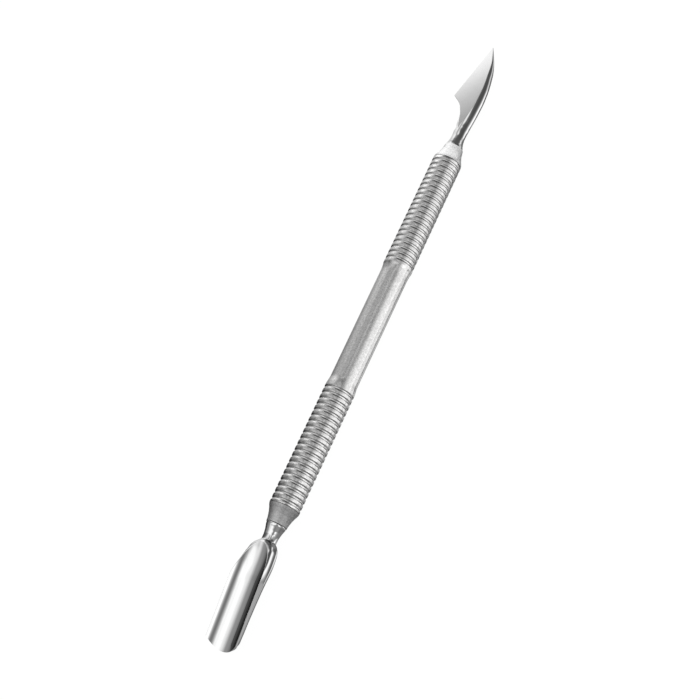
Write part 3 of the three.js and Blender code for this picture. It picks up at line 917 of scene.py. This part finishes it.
# Soft boxes, dark flags and the gaps between them. For each azimuth in the tool's frame, in
# degrees: (height above the horizon in degrees, brightness).
MINUS_X = [(-90, 0.3), (-20, 0.3), (30, 0.3), (55, 0.45), (66, 0.75), (72, 1.2), (90, 1.3)]
MINUS_Y = [
    (-90, 0.2), (-52, 0.22), (-30, 0.24), (-11, 0.28), (0, 0.42), (10, 0.7), (18, 1.1), (24, 1.35),
    (30, 1.35), (35, 0.75), (40, 0.38), (45, 0.24), (50, 0.2), (54, 0.28), (59, 0.51), (64, 0.9),
    (69, 1.25), (90, 1.3),
]
STUDIO = {
    -180: MINUS_X,
    -140: [
        (-90, 0.3), (-20, 0.3), (30, 0.3), (50, 0.28), (60, 0.35), (68, 0.65), (74, 1.2),
        (90, 1.3),
    ],
    -120: [
        (-90, 0.15), (-40, 0.2), (-10, 0.2), (10, 0.3), (40, 0.3), (52, 0.22), (60, 0.3),
        (65, 0.55), (70, 1.1), (90, 1.3),
    ],
    -104: [
        (-90, 0.12), (-52, 0.165), (-33, 0.2), (-22, 0.17), (-10, 0.17), (4, 0.28), (18, 0.32),
        (32, 0.3), (45, 0.25), (52, 0.22), (59, 0.4), (65, 0.8), (70, 1.2), (90, 1.3),
    ],
    -95: MINUS_Y,
    -88: MINUS_Y,
    -81: [
        (-90, 0.2), (-60, 0.25), (-40, 0.26), (-18, 0.28), (0, 0.36), (16, 0.42), (22, 0.55),
        (32, 0.75), (37, 1.25), (43, 1.2), (49, 0.5), (54, 0.4), (59, 0.5), (64, 0.8), (70, 1.1),
        (90, 1.3),
    ],
    -75: [
        (-90, 0.12), (-76, 0.12), (-68, 0.22), (-62, 0.35), (-57, 0.5), (-53, 0.33), (-49, 0.55),
        (-44, 1.05), (-42, 1.2), (-34, 1.3), (-26, 1.1), (-20, 0.8), (-13, 0.38), (-5, 0.25),
        (4, 0.15), (11, 0.105), (21, 0.1), (28, 0.1), (34, 0.2), (40, 0.5), (45, 0.35), (50, 0.13),
        (55, 0.3), (61, 0.8), (68, 1.1), (90, 1.3),
    ],
    -55: [
        (-90, 0.12), (-78, 0.12), (-73, 0.4), (-69, 0.9), (-66, 0.5), (-63, 0.12), (-56, 0.1),
        (-53.5, 0.6), (-51, 1.1), (-38, 1.3), (-25, 1.2), (-19, 0.75), (-13, 0.35), (-5, 0.2),
        (3, 0.1), (10, 0.085), (30, 0.085), (46, 0.11), (52, 0.25), (57, 0.6), (61, 1), (65, 0.45),
        (72, 0.3), (80, 0.7), (90, 1.3),
    ],
    -35: [
        (-90, 0.12), (-78, 0.14), (-73, 0.7), (-67, 1.1), (-62, 0.8), (-59, 0.12), (-50, 0.1),
        (-46, 0.14), (-33, 0.18), (-25, 0.5), (-17, 1), (-8, 0.9), (-4, 0.5), (2, 0.14), (11, 0.1),
        (30, 0.09), (47, 0.11), (53, 0.14), (56, 0.35), (59, 1), (63, 1), (66, 0.4), (72, 0.3),
        (80, 0.7), (90, 1.3),
    ],
    -10: [
        (-90, 0.12), (-78, 0.15), (-74, 0.8), (-69, 1), (-63, 0.3), (-58, 0.14), (-50, 0.2),
        (-43, 0.28), (-40, 0.2), (-35, 0.28), (-16, 0.13), (0, 0.1), (30, 0.1), (43, 0.11),
        (50, 0.18), (56, 0.32), (60, 0.85), (63, 1.1), (66, 0.6), (72, 0.35), (80, 0.9), (90, 1.3),
    ],
    20: [
        (-90, 0.12), (-77, 0.15), (-72, 0.5), (-68, 0.5), (-63, 0.15), (-56, 0.15), (-50, 0.18),
        (-20, 0.4), (0, 0.3), (12, 0.14), (30, 0.14), (40, 0.25), (45, 0.33), (52, 0.45),
        (59, 0.5), (66, 0.55), (80, 1), (90, 1.3),
    ],
    42: [
        (-90, 0.12), (-77, 0.15), (-72, 0.3), (-66, 0.4), (-60, 0.2), (-50, 0.2), (-25, 0.7),
        (5, 0.6), (16, 0.9), (30, 1.15), (47, 1.15), (54, 0.5), (55, 0.45), (65, 0.6), (80, 0.95),
        (90, 1.3),
    ],
    58: [
        (-90, 0.4), (-45, 0.4), (-24, 0.9), (-12, 0.8), (3, 0.75), (18, 0.9), (29, 1), (40, 0.8),
        (60, 0.8), (70, 1), (90, 1.3),
    ],
    78: [
        (-90, 0.15), (-35, 0.1), (-18, 0.03), (0, 0.06), (10, 0.09), (28, 0.1), (38, 0.15),
        (49, 0.25), (64, 0.5), (75, 0.9), (90, 1.25),
    ],
    92: [
        (-90, 0.15), (-35, 0.1), (-28, 0.05), (-18, 0.02), (-10, 0.03), (0, 0.056), (5, 0.114),
        (10, 0.176), (20, 0.25), (30, 0.32), (40, 0.33), (46, 0.38), (50, 0.53), (55, 0.64),
        (60, 0.85), (65, 0.97), (72, 1.02), (80, 1.09), (86, 1.25), (90, 1.3),
    ],
    120: [
        (-90, 0.15), (-20, 0.08), (0, 0.1), (10, 0.2), (30, 0.28), (41, 0.38), (44, 0.55),
        (49, 0.76), (54, 0.92), (61, 0.95), (68, 1.05), (75, 1.25), (90, 1.3),
    ],
    150: [
        (-90, 0.25), (-20, 0.25), (30, 0.28), (50, 0.35), (60, 0.5), (65, 0.85), (72, 1.2),
        (90, 1.3),
    ],
    180: MINUS_X,
}


def studio():
    world = bpy.data.worlds.new("studio")
    bpy.context.scene.world = world
    nodes = Nodes(world)
    out = nodes.new("ShaderNodeOutputWorld")
    background = nodes.new("ShaderNodeBackground")
    nodes.feed(out.inputs[0], background.outputs[0])
    coordinates = nodes.new("ShaderNodeTexCoord")
    x, y, z = nodes.separate(nodes.vector("NORMALIZE", coordinates.outputs["Generated"]))
    # height runs from 0 straight down to 1 straight up
    height = nodes.math("MULTIPLY", nodes.math("ARCSINE", z), 1 / math.pi)
    height = nodes.math("ADD", height, 0.5)
    azimuth = nodes.math("MULTIPLY", nodes.math("ARCTAN2", y, x), 180 / math.pi)

    def column(rows):
        """Half the brightness over height, which keeps the ramp's colours below 1."""
        return nodes.grey_ramp(height, [((deg + 90) / 180, value / 2) for deg, value in rows])

    turns = sorted(STUDIO)
    light = nodes.math("ADD", column(STUDIO[turns[0]]), 0.0)
    for start, end in zip(turns, turns[1:]):
        light = nodes.mix(nodes.span(azimuth, start, end), light, column(STUDIO[end]))
    path = nodes.new("ShaderNodeLightPath")
    light = nodes.math("MULTIPLY", light, 2.0)
    seen = nodes.mix(path.outputs["Is Camera Ray"], light, SKY_SEEN)
    nodes.feed_all(background, {"Color": (1, 1, 1, 1), "Strength": seen})


studio()

# Soft boxes that each light one satin or blasted piece and leave the polished ends alone:
# name, azimuth, height (degrees), distance, width, height (mm), brightness, piece
SOFT_BOXES = [
    ("right_box_low", -72, 3, 300, 420, 255, 0.5, "ringed_handle"),
    ("right_box_mid", -72, 9, 300, 420, 345, 0.52, "ringed_handle"),
    ("right_box_high", -70, 17, 300, 420, 440, 0.26, "ringed_handle"),
    ("right_box_under", -98, -46, 300, 300, 220, 0.32, "ringed_handle"),
    ("upper_right_box", -55, 50, 300, 400, 120, 0.12, "ringed_handle"),
    ("left_box", 66, 14, 300, 320, 200, 0.22, "ringed_handle"),
    ("left_box_near", 34, 14, 300, 190, 260, 1.0, "ringed_handle"),
    ("cone_box", 8, 18, 200, 330, 260, 1.42, "blade_nose_cone"),
    ("cone_side_box", -50, 5, 200, 200, 260, 0.42, "blade_nose_cone"),
    ("dark_cone_box", -100, 12, 200, 180, 220, 0.3, "pusher_nose_cone"),
]


def soft_box(name, azimuth, elevation, distance, wide, tall, brightness, lit_piece):
    """An area light that faces the origin and lights one piece."""
    light = bpy.data.lights.new(name, "AREA")
    light.shape = "RECTANGLE"
    light.size, light.size_y = wide * MM, tall * MM
    light.energy = math.pi * brightness * light.size * light.size_y
    box = link_object(name, light)
    turn, lift = math.radians(azimuth), math.radians(elevation)
    level = math.cos(lift)
    out = Vector((level * math.cos(turn), level * math.sin(turn), math.sin(lift)))
    across = Vector((-math.sin(turn), math.cos(turn), 0))
    rotation = Matrix((across, out.cross(across), out)).transposed().to_4x4()
    box.matrix_world = Matrix.Translation(out * distance * MM) @ rotation
    box.visible_camera = False
    lit = bpy.data.collections.new(name)
    lit.objects.link(bpy.data.objects[lit_piece])
    box.light_linking.receiver_collection = lit


for row in SOFT_BOXES:
    soft_box(*row)


# ---------------------------------------------------------------- camera
CAMERA_PLACE = (-94.705, -135.376, 207.071)  # mm
CAMERA_RIGHT = (0.40256, -0.83367, -0.37809)
CAMERA_BACK = (-0.33857, -0.51935, 0.78465)  # away from the view


def add_camera():
    lens = bpy.data.cameras.new("camera")
    lens.lens = 73.27
    lens.sensor_width = 36.0
    lens.sensor_fit = "HORIZONTAL"
    lens.shift_x = -0.000714286
    lens.clip_start = 0.005
    lens.clip_end = 60.0
    camera = link_object("camera", lens)
    back = Vector(CAMERA_BACK).normalized()
    up = back.cross(Vector(CAMERA_RIGHT).normalized()).normalized()
    right = up.cross(back).normalized()
    rotation = Matrix((right, up, back)).transposed().to_4x4()
    camera.matrix_world = Matrix.Translation(Vector(CAMERA_PLACE) * MM) @ rotation
    bpy.context.scene.camera = camera


add_camera()

view = bpy.context.scene.view_settings
view.view_transform = "Standard"
view.look = "None"
view.exposure = 0.0
view.gamma = 1.0
